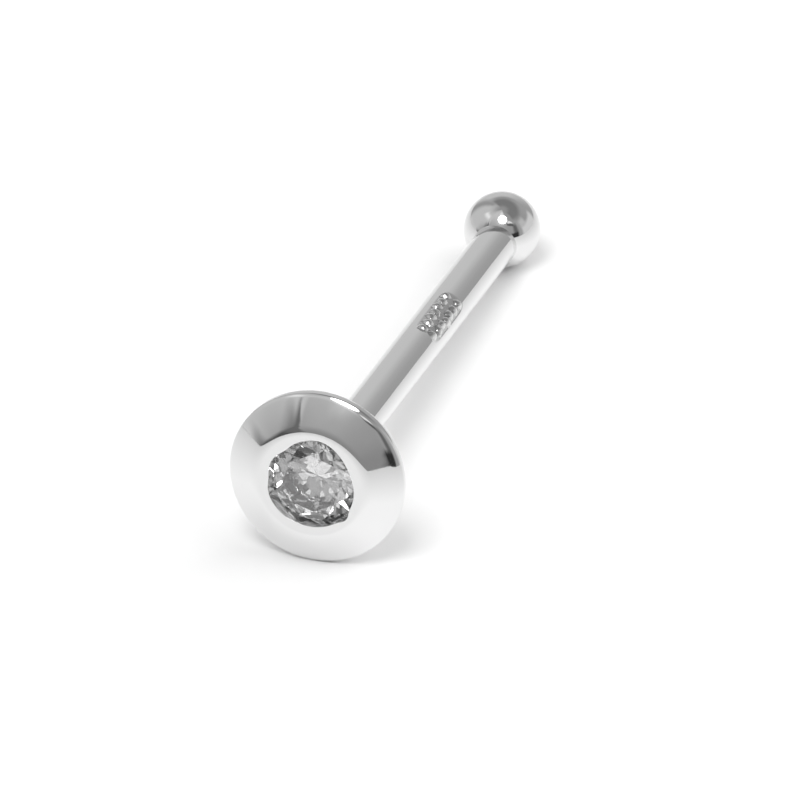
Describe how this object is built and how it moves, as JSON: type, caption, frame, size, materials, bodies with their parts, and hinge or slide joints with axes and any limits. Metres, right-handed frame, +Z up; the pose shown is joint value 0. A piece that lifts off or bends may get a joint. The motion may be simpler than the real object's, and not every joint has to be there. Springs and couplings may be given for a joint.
{
  "type": "nose stud",
  "caption": "Straight nose stud: a domed bezel disc with a flush-set round brilliant, a plain post and a ball end.",
  "frame": {"origin": "on the surface that the stud lies on, under the middle of its length and width", "axes": "+Z up as it lies, +Y along the post from the disc to the ball end, the disc's face towards -Y and tilted up about 5 degrees"},
  "size_m": [0.002, 0.008, 0.0021],
  "materials": {
    "white_gold": "mirror polish, rhodium plated",
    "stone": "polished facets"
  },
  "bodies": {
    "root": {"stud": "white_gold", "stone": "stone"}
  },
  "joints": []
}
